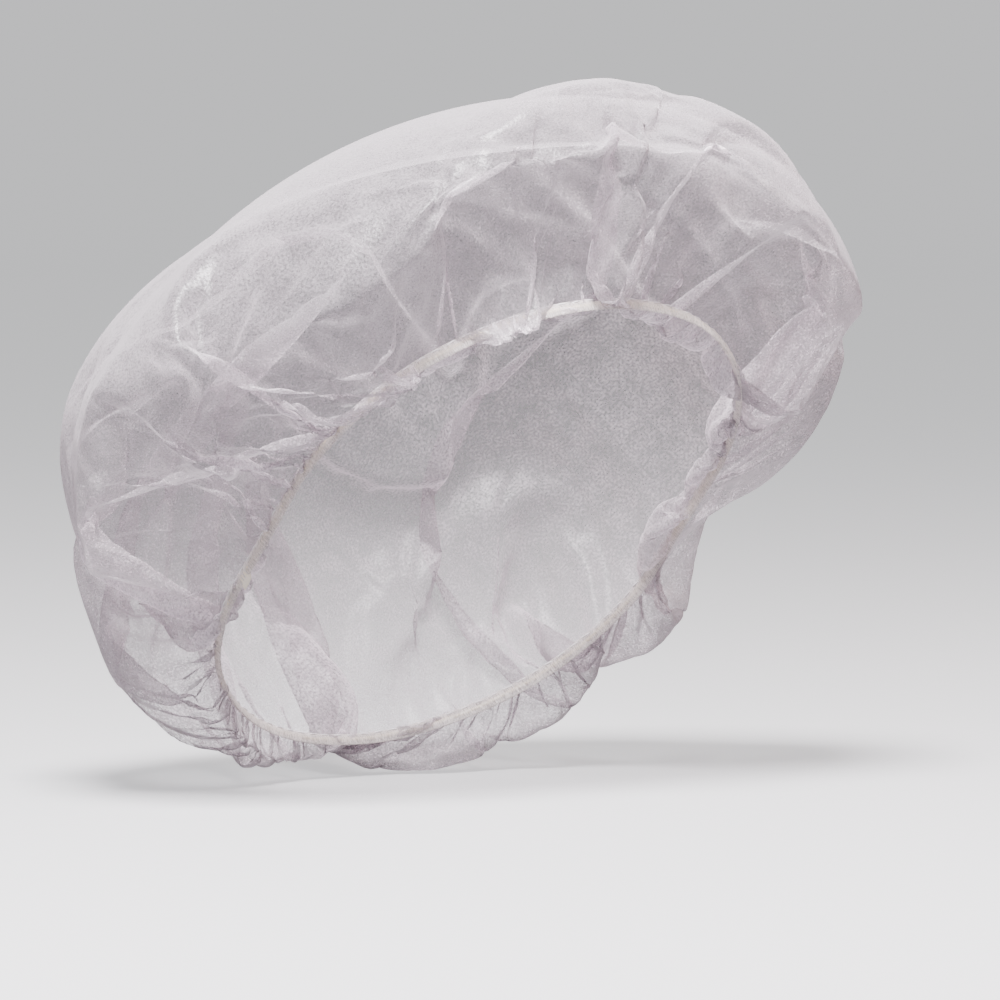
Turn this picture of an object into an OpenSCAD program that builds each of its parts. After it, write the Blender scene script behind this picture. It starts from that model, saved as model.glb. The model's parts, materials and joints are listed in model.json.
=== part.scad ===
// Disposable bouffant (mob) cap in its worn shape: one sheet of thin non-woven fabric gathered
// on to an elastic loop, puffed out over the crown of the head.
// The origin is the centre of the head opening. +Z is up as worn, -Y is the forehead side,
// +Y the nape side, and -X the wearer's right. The head opening lies in a plane that
// tilts up towards the forehead. Lengths are in millimetres.

/* [Head opening] */
// Forehead-to-nape length of the hem loop as worn
opening_length = 196; // [184:1:208]
// Side-to-side width of the hem loop as worn
opening_width = 154; // [146:1:162]
// How far the plane of the opening tips up towards the forehead, in degrees
opening_tilt = 45; // [38:1:50]

/* [Crown] */
// Side-to-side width of the puffed crown
crown_width = 274; // [262:1:284]
// Length of the puffed crown along the opening, from forehead to nape
crown_length = 264; // [256:1:276]
// Thickness of the puffed crown's full ellipsoid, square to the opening
crown_depth = 164; // [150:1:176]
// How far the crown's middle sits towards the forehead from the middle of the opening
crown_forward = 21; // [14:1:22]
// How far the crown's middle stands off the plane of the opening
crown_rise = 21; // [16:1:28]
// Thickness of the crown sheet, measured towards the crown's middle
sheet_t = 0.8; // [0.6:0.1:1.2]
// Number of soft gathers round the crown
gathers = 18; // [12:1:24]
// Depth of the gathers where they are deepest, close to the hem
gather_depth = 2.6; // [0:0.2:4]

/* [Hem and elastic] */
// Height of the folded hem casing
hem_height = 4.4; // [4:0.2:6]
// Thickness of the folded hem casing
hem_t = 2.0; // [1.8:0.1:2.6]
// Diameter of the elastic strand
elastic_d = 1.2; // [1:0.1:1.3]
// Radial gap between the elastic strand and what holds it
elastic_gap = 0.05; // [0.03:0.01:0.08]

/* [Elastic join] */
// How far behind the middle of the wearer's right side the ends of the elastic meet
join_set_back = 17; // [10:0.5:17]
// Length of the join tab along the hem
join_length = 6; // [5:0.5:8]
// Thickness of the join tab
join_t = 1.7; // [1.6:0.1:1.8]
// Thickness of the join tab above the elastic
join_wall = 0.3; // [0.2:0.05:0.4]
// How far the join tab hangs below the hem casing
join_drop = 1.8; // [1:0.1:3]
// Space between the two cut ends of the elastic inside the tab
elastic_end_space = 2; // [1:0.5:3]

/* [Stitching] */
// Diameter of the sewing thread
thread_d = 0.4; // [0.3:0.05:0.5]
// Distance from one stitch to the next
stitch_pitch = 5; // [4:0.5:8]
// Length of one stitch that shows
stitch_length = 3.2; // [2.5:0.1:3.6]

/* [Hidden] */

// The hem loop as worn: a half circle at the forehead, another at the nape, and two straight sides
half_width = opening_width / 2;
side_length = opening_length - opening_width;
quarter = PI / 2 * half_width;
hem_length = 4 * quarter + 2 * side_length;

// Directions of the opening: towards the forehead, towards the wearer's right, and into the crown
forehead_dir = [0, -cos(opening_tilt), sin(opening_tilt)];
right_dir = [-1, 0, 0];
into_crown = [0, sin(opening_tilt), cos(opening_tilt)];

// Middle of the crown's ellipsoid, whose axes lie along those three directions
crown_middle = crown_forward * forehead_dir + crown_rise * into_crown;

// Crown mesh: columns round the opening and rows from the hem to the top
columns = 4 * gathers;
rows = 15;
// Higher powers keep the crown full until close to the hem, then tuck it under
tuck_power = 14;
// Rise of the crown's first row above the middle of the hem casing, inside the casing's top
seat_rise = hem_height / 2 - 0.5;

elastic_r = elastic_d / 2;
channel_r = elastic_r + elastic_gap;
join_top = channel_r + join_wall;
pocket_clearance = 0.15;
stitch_rise = (channel_r + hem_height / 2) / 2;
smooth = 48;
fine = 16;
overshoot = 1;

// ---- Points on the hem loop ---------------------------------------------------------------

// [u, v, outward angle] at a distance along the loop from the middle of the forehead. u is
// towards the forehead and v towards the wearer's right, in the opening's plane.
function loop_point(distance) =
    distance < quarter
        ? end_point(side_length / 2, distance / half_width * 180 / PI)
    : distance < quarter + side_length
        ? [side_length / 2 - (distance - quarter), half_width, 90]
    : distance < 3 * quarter + side_length
        ? end_point(-side_length / 2, (distance - side_length) / half_width * 180 / PI)
    : distance < 3 * quarter + 2 * side_length
        ? [distance - 3 * quarter - 1.5 * side_length, -half_width, 270]
    : end_point(side_length / 2, (distance - 2 * side_length) / half_width * 180 / PI);

function end_point(centre, a) = [centre + half_width * cos(a), half_width * sin(a), a];

// Same point in the frame of the part, raised out of the opening's plane by rise
function hem_point(distance, rise) =
    let (p = loop_point(distance))
    p[0] * forehead_dir + p[1] * right_dir + rise * into_crown;

// ---- Crown sheet --------------------------------------------------------------------------

// Distance from the crown's middle to its ellipsoid, in direction d
function ellipsoid_reach(d) =
    0.5 / norm([
        (d * right_dir) / crown_width,
        (d * forehead_dir) / crown_length,
        (d * into_crown) / crown_depth
    ]);

// Point of the crown at a share of the way round the hem. s is 0 at the hem and 1 at the top.
function crown_point(around, s, inset) =
    let (
        start = hem_point(around * hem_length, seat_rise) - crown_middle,
        across = start - (start * into_crown) * into_crown,
        side = across / norm(across),
        full_angle = acos((start * into_crown) / norm(start)),
        angle = full_angle * (1 - s),
        d = cos(angle) * into_crown + sin(angle) * side,
        start_share = norm(start) / ellipsoid_reach(start / norm(start)),
        share = 1 - (1 - start_share) * pow(1 - s, tuck_power),
        swell = gather_depth * sin(180 * pow(s, 0.5)) * pow(1 - s, 2) * cos(gathers * 360 * around)
    )
    crown_middle + (ellipsoid_reach(d) * share + swell - inset) * d;

function ring_points(inset) = [
    for (j = [0 : rows - 1]) for (i = [0 : columns - 1])
        crown_point(i / columns, j / rows, inset)
];

// Two triangles for each cell of a grid of rings, which starts at point index first
function grid_faces(first, flip) = [
    for (j = [0 : rows - 2]) for (i = [0 : columns - 1])
        let (
            k = (i + 1) % columns,
            a = first + j * columns + i,
            b = first + j * columns + k,
            c = first + (j + 1) * columns + k,
            d = first + (j + 1) * columns + i
        )
        each (flip ? [[a, c, b], [a, d, c]] : [[a, b, c], [a, c, d]])
];

module crown() {
    ring_count = rows * columns;
    outer_top = 2 * ring_count;
    inner_top = outer_top + 1;
    last_row = (rows - 1) * columns;
    points = concat(
        ring_points(0),
        ring_points(sheet_t),
        [crown_point(0, 1, 0), crown_point(0, 1, sheet_t)]
    );
    caps = [
        for (i = [0 : columns - 1])
            let (k = (i + 1) % columns)
            each [
                [last_row + i, last_row + k, outer_top],
                [ring_count + last_row + k, ring_count + last_row + i, inner_top]
            ]
    ];
    rim = [
        for (i = [0 : columns - 1])
            let (k = (i + 1) % columns)
            each [[i, ring_count + k, k], [i, ring_count + i, ring_count + k]]
    ];
    color([0.93, 0.91, 0.93])
        polyhedron(points, concat(grid_faces(0, false), grid_faces(ring_count, true), caps, rim));
}

// ---- Sweeps along the hem -------------------------------------------------------------------

// Tilts what is drawn flat, with +X to the forehead and +Y to the wearer's right, into place.
// The mirror makes the flat drawing's third axis point into the crown.
module in_opening() {
    multmatrix([
        [0, -1, 0, 0],
        [-cos(opening_tilt), 0, sin(opening_tilt), 0],
        [sin(opening_tilt), 0, cos(opening_tilt), 0],
        [0, 0, 0, 1]
    ]) children();
}

// Sweeps a 2D child round the hem loop. Its origin rides on the loop, with +X outward and +Y
// into the crown.
module hem_sweep() {
    for (turn = [0, 180])
        rotate([0, 0, turn]) {
            translate([side_length / 2, 0, 0])
                rotate([0, 0, -90])
                    rotate_extrude(angle = 180, $fn = 3 * smooth)
                        translate([half_width, 0])
                            children();
            translate([0, half_width, 0])
                rotate([90, 0, 90])
                    linear_extrude(height = side_length, center = true)
                        children();
        }
}

// Puts children, drawn with +X outward, +Y along the hem and +Z into the crown, on the loop
module at_hem(distance) {
    p = loop_point(distance);
    translate([p[0], p[1], 0])
        rotate([0, 0, p[2]])
            children();
}

module at_join() {
    at_hem(quarter + side_length / 2 + join_set_back)
        children();
}

// ---- Sub-parts --------------------------------------------------------------------------------

module hem_section() {
    straight = hem_height - hem_t;
    difference() {
        union() {
            square([hem_t, straight], center = true);
            translate([0, straight / 2])
                circle(d = hem_t, $fn = smooth);
            translate([0, -straight / 2])
                circle(d = hem_t, $fn = smooth);
        }
        circle(r = channel_r, $fn = smooth);
    }
}

// Mouth in the casing, where the ends of the elastic come out into the join tab
module join_mouth() {
    top = join_top + pocket_clearance;
    depth = hem_height / 2 + top + overshoot;
    at_join()
        translate([0, 0, top - depth / 2])
            cube([hem_t + 2 * overshoot, join_length + 2 * pocket_clearance, depth], center = true);
}

module hem_casing() {
    color([0.90, 0.88, 0.86])
        in_opening()
            difference() {
                hem_sweep() hem_section();
                join_mouth();
            }
}

module elastic_loop() {
    color([0.95, 0.92, 0.84])
        in_opening()
            difference() {
                hem_sweep() circle(r = elastic_r, $fn = smooth);
                at_join()
                    cube([2 * elastic_d, elastic_end_space, 2 * elastic_d], center = true);
            }
}

module elastic_join() {
    bottom = -hem_height / 2 - join_drop;
    color([0.93, 0.89, 0.80])
        in_opening()
            at_join()
                difference() {
                    translate([0, 0, (join_top + bottom) / 2])
                        rotate([90, 0, 90])
                            linear_extrude(height = join_t, center = true)
                                join_outline(join_length, join_top - bottom);
                    rotate([90, 0, 0])
                        cylinder(
                            r = channel_r,
                            h = join_length + 2 * overshoot,
                            center = true,
                            $fn = smooth
                        );
                }
}

// Tab outline with its lower corners rounded
module join_outline(length, height) {
    corner = 0.8;
    difference() {
        square([length, height], center = true);
        for (side = [-1, 1])
            translate([side * (length / 2 - corner / 2), -height / 2 + corner / 2])
                difference() {
                    square(corner + 0.01, center = true);
                    translate([-side * corner / 2, corner / 2])
                        circle(r = corner, $fn = smooth);
                }
    }
}

// A row of stitches lying on one face of the casing; side is 1 outside and -1 against the head
module stitch_row(side) {
    count = floor(hem_length / stitch_pitch);
    for (i = [0 : count - 1])
        at_hem((i + 0.5) * hem_length / count)
            translate([side * (hem_t / 2 + thread_d * 0.3), 0, stitch_rise])
                rotate([90, 0, 0]) {
                    cylinder(d = thread_d, h = stitch_length - thread_d, center = true, $fn = fine);
                    for (end = [-1, 1])
                        translate([0, 0, end * (stitch_length - thread_d) / 2])
                            sphere(d = thread_d, $fn = fine);
                }
}

module needle_thread() {
    color([0.97, 0.97, 0.98])
        in_opening() stitch_row(1);
}

module bobbin_thread() {
    color([0.96, 0.96, 0.97])
        in_opening() stitch_row(-1);
}

crown();
hem_casing();
elastic_loop();
elastic_join();
needle_thread();
bobbin_thread();
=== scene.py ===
"""Looks of a disposable bouffant cap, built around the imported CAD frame.

The crown is one flat disc of thin non-woven fabric. It is gathered on to the hem loop, puffed out
inside the crown's envelope and left to crumple by a small cloth solver, which is run here.
Everything is in metres. Most shapes are worked out in the opening's own directions, (u, v, w):
u towards the forehead, v towards the wearer's right and w into the crown.
"""

import json
import math

import bpy
import numpy as np
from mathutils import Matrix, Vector


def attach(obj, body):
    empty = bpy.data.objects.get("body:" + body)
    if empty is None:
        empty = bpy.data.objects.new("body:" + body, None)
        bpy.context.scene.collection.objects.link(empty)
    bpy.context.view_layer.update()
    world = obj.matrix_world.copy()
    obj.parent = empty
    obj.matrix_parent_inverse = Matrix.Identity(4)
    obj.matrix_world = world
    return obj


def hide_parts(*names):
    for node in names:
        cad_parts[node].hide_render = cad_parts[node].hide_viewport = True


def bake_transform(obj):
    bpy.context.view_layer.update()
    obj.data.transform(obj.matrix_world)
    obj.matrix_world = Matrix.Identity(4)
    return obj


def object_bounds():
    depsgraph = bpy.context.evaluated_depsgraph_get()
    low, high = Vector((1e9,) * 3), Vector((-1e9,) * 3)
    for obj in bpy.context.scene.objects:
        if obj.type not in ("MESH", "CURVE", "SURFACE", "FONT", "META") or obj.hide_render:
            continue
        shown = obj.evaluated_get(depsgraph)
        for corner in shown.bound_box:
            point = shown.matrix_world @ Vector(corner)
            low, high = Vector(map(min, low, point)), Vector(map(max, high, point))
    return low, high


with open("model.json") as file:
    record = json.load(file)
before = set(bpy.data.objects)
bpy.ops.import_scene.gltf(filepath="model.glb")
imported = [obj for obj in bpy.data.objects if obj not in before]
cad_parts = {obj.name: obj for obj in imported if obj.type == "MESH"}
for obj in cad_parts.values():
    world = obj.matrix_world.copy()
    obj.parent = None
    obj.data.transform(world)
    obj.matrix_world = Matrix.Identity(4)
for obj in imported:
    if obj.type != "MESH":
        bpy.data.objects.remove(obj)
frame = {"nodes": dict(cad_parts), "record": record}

cad_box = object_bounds()

MM = 0.001
SEED = 7

# ---- Directions and sizes read from the frame --------------------------------------------------

INTO_CROWN = -np.array(frame["record"]["mounts"][0]["axis"], float)
RIGHT = np.array([-1.0, 0.0, 0.0])
FOREHEAD = np.cross(RIGHT, INTO_CROWN)
# The cap is tipped with its forehead end up
if FOREHEAD[2] < 0:
    FOREHEAD = -FOREHEAD
AXES = np.array([FOREHEAD, RIGHT, INTO_CROWN])


def to_frame(points):
    """Points given as (u, v, w), in the part's frame."""
    return np.asarray(points) @ AXES


def node_in_opening(name):
    """A CAD node's vertices as (u, v, w)."""
    vertices = frame["nodes"][name].data.vertices
    co = np.empty(len(vertices) * 3)
    vertices.foreach_get("co", co)
    return co.reshape(-1, 3) @ AXES.T


ELASTIC = node_in_opening("elastic_loop")
CASING = node_in_opening("hem_casing")
CROWN = node_in_opening("crown")
ELASTIC_R = (ELASTIC[:, 2].max() - ELASTIC[:, 2].min()) / 2
HALF_WIDTH = ELASTIC[:, 1].max() - ELASTIC_R
HALF_LENGTH = ELASTIC[:, 0].max() - ELASTIC_R
SIDE = 2 * (HALF_LENGTH - HALF_WIDTH)
HEM_HEIGHT = CASING[:, 2].max() - CASING[:, 2].min()
HEM_T = 2 * (CASING[:, 1].max() - HALF_WIDTH)
QUARTER = math.pi / 2 * HALF_WIDTH
HEM_LENGTH = 4 * QUARTER + 2 * SIDE

# The crown's envelope: an ellipsoid along the opening's directions, a little fuller than the CAD
# crown, because most of the crumpled sheet lies inside it
CROWN_RISE = 21 * MM
PUFF_FORWARD = 6 * MM
PUFF_SIDEWAYS = 8 * MM
PUFF_UP = 2 * MM
CROWN_MIDDLE = np.array([(CROWN[:, 0].max() + CROWN[:, 0].min()) / 2, 0.0, CROWN_RISE])
CROWN_HALF = np.array([
    (CROWN[:, 0].max() - CROWN[:, 0].min()) / 2 + PUFF_FORWARD,
    CROWN[:, 1].max() + PUFF_SIDEWAYS,
    CROWN[:, 2].max() - CROWN_RISE + PUFF_UP,
])


def hem_loop(share):
    """Points, outward normals and tangents of the hem loop, at shares of the way round it from
    the middle of the forehead towards the wearer's right."""
    distance = (np.asarray(share) % 1.0) * HEM_LENGTH
    half = SIDE / 2
    corners = [QUARTER, QUARTER + SIDE, 3 * QUARTER + SIDE, 3 * QUARTER + 2 * SIDE]
    before = [distance < corner for corner in corners]
    turned = np.select(before, [distance, QUARTER, distance - SIDE, 3 * QUARTER], distance - 2 * SIDE)
    angle = turned / HALF_WIDTH
    on_right = half - (distance - corners[0])
    on_left = -half + (distance - corners[2])
    centre = np.select(before, [half, on_right, -half, on_left], half)
    out = np.stack([np.cos(angle), np.sin(angle), np.zeros_like(angle)], -1)
    along = np.stack([-np.sin(angle), np.cos(angle), np.zeros_like(angle)], -1)
    points = HALF_WIDTH * out
    points[..., 0] += centre
    return points, out, along


# ---- The flat sheet ------------------------------------------------------------------------------

SHEET_R = 250 * MM
# Points at this reach and beyond are sewn into the hem
SEWN = 0.999
# How sharply the sheet tucks in beside the hem, and how deep its edge sits in the casing
TUCK_POWER = 14
EDGE_SEAT = 0.5 * MM


def ring_start(k):
    return 0 if k == 0 else 1 + 3 * k * (k - 1)


def flat_disc(rings):
    """A disc of near-equilateral triangles: ring k has 6k points. Returns points and triangles."""
    points = [np.zeros((1, 2))]
    triangles = []
    for k in range(1, rings + 1):
        angle = 2 * np.pi * np.arange(6 * k) / (6 * k)
        points.append(SHEET_R * k / rings * np.stack([np.cos(angle), np.sin(angle)], 1))
        inner, outer = ring_start(k - 1), ring_start(k)
        inner_count, outer_count = max(6 * (k - 1), 1), 6 * k
        for sector in range(6):
            for j in range(k):
                a = outer + sector * k + j
                b = outer + (sector * k + j + 1) % outer_count
                c = inner + (sector * (k - 1) + j) % inner_count
                triangles.append((a, b, c))
                if j < k - 1:
                    d = inner + (sector * (k - 1) + j + 1) % inner_count
                    triangles.append((b, d, c))
    return np.concatenate(points), np.array(triangles)


def edges_and_hinges(triangles):
    """Every edge once, and for each inner edge the two points opposite it."""
    opposite = {}
    for a, b, c in triangles.tolist():
        for p, q, r in ((a, b, c), (b, c, a), (c, a, b)):
            opposite.setdefault((min(p, q), max(p, q)), []).append(r)
    edges = np.array(list(opposite))
    hinges = np.array([pair for pair in opposite.values() if len(pair) == 2])
    return edges, hinges


def batches(pairs, count):
    """Splits pairs into groups in which no point appears twice."""
    used = [0] * count
    groups = []
    for index, (a, b) in enumerate(pairs.tolist()):
        busy = used[a] | used[b]
        colour = 0
        while busy >> colour & 1:
            colour += 1
        used[a] |= 1 << colour
        used[b] |= 1 << colour
        while len(groups) <= colour:
            groups.append([])
        groups[colour].append(index)
    return [np.array(g) for g in groups]


# ---- The cloth solver ----------------------------------------------------------------------------


def close_pairs(points, reach):
    """Pairs of points nearer than reach, found by sorting them into cubes."""
    cell = np.floor(points / reach).astype(np.int64)
    cell -= cell.min(0) - 1
    span = cell.max(0) + 2
    key = (cell[:, 0] * span[1] + cell[:, 1]) * span[2] + cell[:, 2]
    order = np.argsort(key, kind="stable")
    ordered = key[order]
    firsts, seconds = [], []
    half = [(0, 0, 0)] + [
        (x, y, z)
        for x in (-1, 0, 1) for y in (-1, 0, 1) for z in (-1, 0, 1)
        if (x, y, z) > (0, 0, 0)
    ]
    for x, y, z in half:
        wanted = key + (x * span[1] + y) * span[2] + z
        low = np.searchsorted(ordered, wanted, "left")
        many = np.searchsorted(ordered, wanted, "right") - low
        first = np.repeat(np.arange(len(points)), many)
        step = np.arange(many.sum()) - np.repeat(np.cumsum(many) - many, many)
        second = order[np.repeat(low, many) + step]
        keep = first < second if (x, y, z) == (0, 0, 0) else first >= 0
        firsts.append(first[keep])
        seconds.append(second[keep])
    first, second = np.concatenate(firsts), np.concatenate(seconds)
    near = ((points[first] - points[second]) ** 2).sum(1) < reach * reach
    return first[near], second[near]


class Cloth:
    """A sheet of points held by edges that barely stretch and hinges that resist bending."""

    def __init__(self, flat, triangles):
        self.flat = flat
        self.count = len(flat)
        edges, hinges = edges_and_hinges(triangles)
        self.edges = edges
        self.neighbours = np.bincount(edges.ravel(), minlength=self.count)
        self.groups = []
        for pairs, kind in ((edges, "edge"), (hinges, "hinge")):
            rest = np.linalg.norm(flat[pairs[:, 0]] - flat[pairs[:, 1]], axis=1)
            for group in batches(pairs, self.count):
                self.groups.append((kind, pairs[group, 0], pairs[group, 1], rest[group]))

    def hold_lengths(self, x, free, squeeze, bend):
        for kind, a, b, rest in self.groups:
            if kind == "hinge" and bend == 0:
                continue
            gap = x[b] - x[a]
            length = np.sqrt(np.einsum("ij,ij->i", gap, gap)) + 1e-12
            error = (length - rest) / length
            if kind == "edge":
                error = np.where(error < 0, error * squeeze, error)
            else:
                error = np.minimum(error, 0) * bend
            fa, fb = free[a], free[b]
            share = error / np.maximum(fa + fb, 1e-9)
            x[a] += gap * (share * fa)[:, None]
            x[b] -= gap * (share * fb)[:, None]

    def soften(self, x, free, strength):
        """Draws each point part of the way to the middle of its neighbours."""
        a, b = self.edges.T
        for axis in range(3):
            total = np.bincount(a, x[b, axis], self.count) + np.bincount(b, x[a, axis], self.count)
            x[:, axis] += (total / self.neighbours - x[:, axis]) * strength * free

    def push_apart(self, x, free, pairs, thickness):
        a, b = pairs
        gap = x[b] - x[a]
        length = np.sqrt(np.einsum("ij,ij->i", gap, gap)) + 1e-12
        push = np.maximum(thickness - length, 0) / length * 0.5
        move = gap * push[:, None]
        hits = np.bincount(a, push > 0, self.count) + np.bincount(b, push > 0, self.count)
        hits = np.maximum(hits, 1)
        for axis in range(3):
            shift = np.bincount(b, move[:, axis], self.count)
            shift -= np.bincount(a, move[:, axis], self.count)
            x[:, axis] += free * shift / hits

    def layers_touching(self, x, thickness):
        """Close pairs that are far apart in the flat sheet."""
        a, b = close_pairs(x, thickness)
        apart = ((self.flat[a] - self.flat[b]) ** 2).sum(1) > (3 * thickness) ** 2
        return a[apart], b[apart]


def envelope_radius(q):
    """How far a point is from the crown's middle, as a share of the distance to its envelope."""
    return np.linalg.norm((q - CROWN_MIDDLE) / CROWN_HALF, axis=1)


def gathered_start(flat):
    """The sheet laid over the envelope with its edge on the hem loop."""
    radius = np.linalg.norm(flat, axis=1) / SHEET_R
    share = np.arctan2(flat[:, 1], flat[:, 0]) / (2 * np.pi)
    rim, out, _ = hem_loop(share)
    rim = rim + np.array([0, 0, HEM_HEIGHT / 2 - EDGE_SEAT])
    start = rim - CROWN_MIDDLE
    across = start * np.array([1.0, 1.0, 0.0])
    across /= np.linalg.norm(across, axis=1)[:, None]
    full = np.arccos(start[:, 2] / np.linalg.norm(start, axis=1))
    angle = full * radius
    direction = np.sin(angle)[:, None] * across
    direction[:, 2] = np.cos(angle)
    reach = 1 / np.linalg.norm(direction / CROWN_HALF, axis=1)
    start_direction = start / np.linalg.norm(start, axis=1)[:, None]
    start_reach = 1 / np.linalg.norm(start_direction / CROWN_HALF, axis=1)
    start_share = np.linalg.norm(start, axis=1) / start_reach
    share_out = 1 - (1 - start_share) * radius ** TUCK_POWER
    return CROWN_MIDDLE + direction * (reach * share_out)[:, None], rim, out


def finer(x, rings, flat):
    """Where the points of flat are on a sheet with fewer rings, read off by its polar grid."""
    reach = np.linalg.norm(flat, axis=1) / SHEET_R * rings
    turn = np.arctan2(flat[:, 1], flat[:, 0]) / (2 * np.pi) % 1.0
    low = np.minimum(np.floor(reach + 1e-9).astype(int), rings - 1)
    rows = []
    for ring in (low, low + 1):
        count = np.maximum(6 * ring, 1)
        first = np.where(ring == 0, 0, 1 + 3 * ring * (ring - 1))
        at = turn * count
        step = np.floor(at + 1e-9).astype(int)
        part = np.where(ring == 0, 0.0, at - step)[:, None]
        rows.append(x[first + step % count] * (1 - part) + x[first + (step + 1) % count] * part)
    part = np.clip(reach - low, 0, 1)[:, None]
    return rows[0] * (1 - part) + rows[1] * part


# How far fabric outside the hem loop may hang below the plane of the opening
SAG_LIMIT = 16 * MM
SAG_WIDTH = 14 * MM
HEM_CLEARANCE = 2 * MM
# How much more the wearer's left side sags than the right
LEFT_HANG = 1.0
# Reach at which the skirt beside the hem starts, and how deep in the sheet it is
SKIRT_START = 0.72
SKIRT_DEPTH = 0.28
# How far the inner envelope gives way beside the hem
HEM_TUCK = 0.85
PLEATS_A_RING = 1.5
PLEAT_START = 0.86
PLEAT_DEPTH = 0.1
LOBE_PULL = 0.3


def settle(cloth, x, radius, outward, rng, level, droop):
    """Lets the sheet find its folds between an inner and an outer envelope. droop is how strongly
    each point is drawn to hang over the hem, and where to."""
    rim = radius > SEWN
    held = x[rim].copy()
    free = np.where(rim, 0.0, 1.0)
    x = x + rng.normal(size=x.shape) * level["noise"] * free[:, None]
    # Small pleats beside the hem, every few points, for the gathers to grow from
    turn = np.arctan2(cloth.flat[:, 1], cloth.flat[:, 0]) / (2 * np.pi)
    pleat = np.cos(2 * np.pi * turn * PLEATS_A_RING * level["rings"])
    pleat = pleat * np.clip((radius - PLEAT_START) / PLEAT_DEPTH, 0, 1)
    x += outward * (pleat * level["pleat"] * free)[:, None]
    speed = np.zeros_like(x)
    weight, drawn_to = droop
    down = AXES @ np.array([0.0, 0.0, -1.0])
    near_hem = np.clip((radius - SKIRT_START) / SKIRT_DEPTH, 0, 1)
    # Only the skirt beside the hem sags, and more so at the wearer's left
    skirt = near_hem * (1 + LEFT_HANG * np.clip(-np.sin(2 * np.pi * turn), 0, 1))
    for step in range(level["steps"]):
        progress = step / level["steps"]
        floor_share = level["inner"][0] * (1 - progress) + level["inner"][1] * progress
        inner = floor_share * (1 - HEM_TUCK * near_hem)
        moved = x + speed * level["carry"] + down * (level["sag"] * free * skirt)[:, None]
        moved += (drawn_to - moved) * (LOBE_PULL * weight)[:, None]
        for sweep in range(level["sweeps"]):
            cloth.hold_lengths(moved, free, level["squeeze"], level["bend"])
        if step % 3 == 0:
            pairs = cloth.layers_touching(moved, level["thickness"])
        cloth.push_apart(moved, free, pairs, level["thickness"])
        share = envelope_radius(moved)
        limit = np.clip(share, inner, 1.0)
        moved = CROWN_MIDDLE + (moved - CROWN_MIDDLE) * (limit / share)[:, None]
        past_straight = np.maximum(np.abs(moved[:, 0]) - SIDE / 2, 0)
        beside = np.hypot(past_straight, moved[:, 1]) - HALF_WIDTH
        hang = np.clip((beside - HEM_CLEARANCE) / SAG_WIDTH, 0, 1) * SAG_LIMIT
        hang = hang + LOBE_DROP * np.clip(2 * weight, 0, 1)
        moved[:, 2] = np.maximum(moved[:, 2], -HEM_CLEARANCE - hang)
        moved[rim] = held
        speed = moved - x
        x = moved
    return x


# ---- Folds laid in the sheet ----------------------------------------------------------------------

# A fold is a line on the flat sheet and half the width of fabric that it takes up. A place on the
# line is given as degrees round the hem, from the middle of the forehead towards the wearer's
# right, and as a reach, from 0 at the top to 1 at the hem. All folds follow from these places.
TEMPLE = 45
EAR = 90
LOBES = (TEMPLE / 2, TEMPLE)
PINCH_AT = (TEMPLE / 2, 0.75)
RIDGE_REACH = 0.80
RIDGE_ARCH = 0.03
BROW_CREASES = 4
BROW_SPAN = TEMPLE / 2
SIDE_STEP = TEMPLE / 3
SIDE_CREASES = 4
BACK_CREASES = 9
SMALL_FOLDS = 90
THIN_CREASES = 44
# Half widths of the fabric that folds take up
LOBE_FOLD = 10 * MM
LOBE_SIDE_FOLD = 6 * MM
RIDGE_FOLD = 9 * MM
RIDGE_DROP_FOLD = 7 * MM
SLANT_FOLD = 9 * MM
BROW_FOLD = 4 * MM
BACK_FOLD = 7 * MM
# Reaches where creases start and end
BROW_START = 0.84
SLANT_START = 0.72
SLANT_END = 0.88
BAND_START = 0.74
SHORT_BAND = 0.09
# How far creases that end side by side spread where they start
BROW_FAN = 1.3


def crease(start, end, inner, half_width, bow=0.0, outer=1.0):
    """A fold from start degrees at reach inner to end degrees at reach outer, bowed sideways."""
    middle = (start + end) / 2 + bow
    return [(start, inner), (middle, (inner + outer) / 2), (end, outer)], half_width


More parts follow.
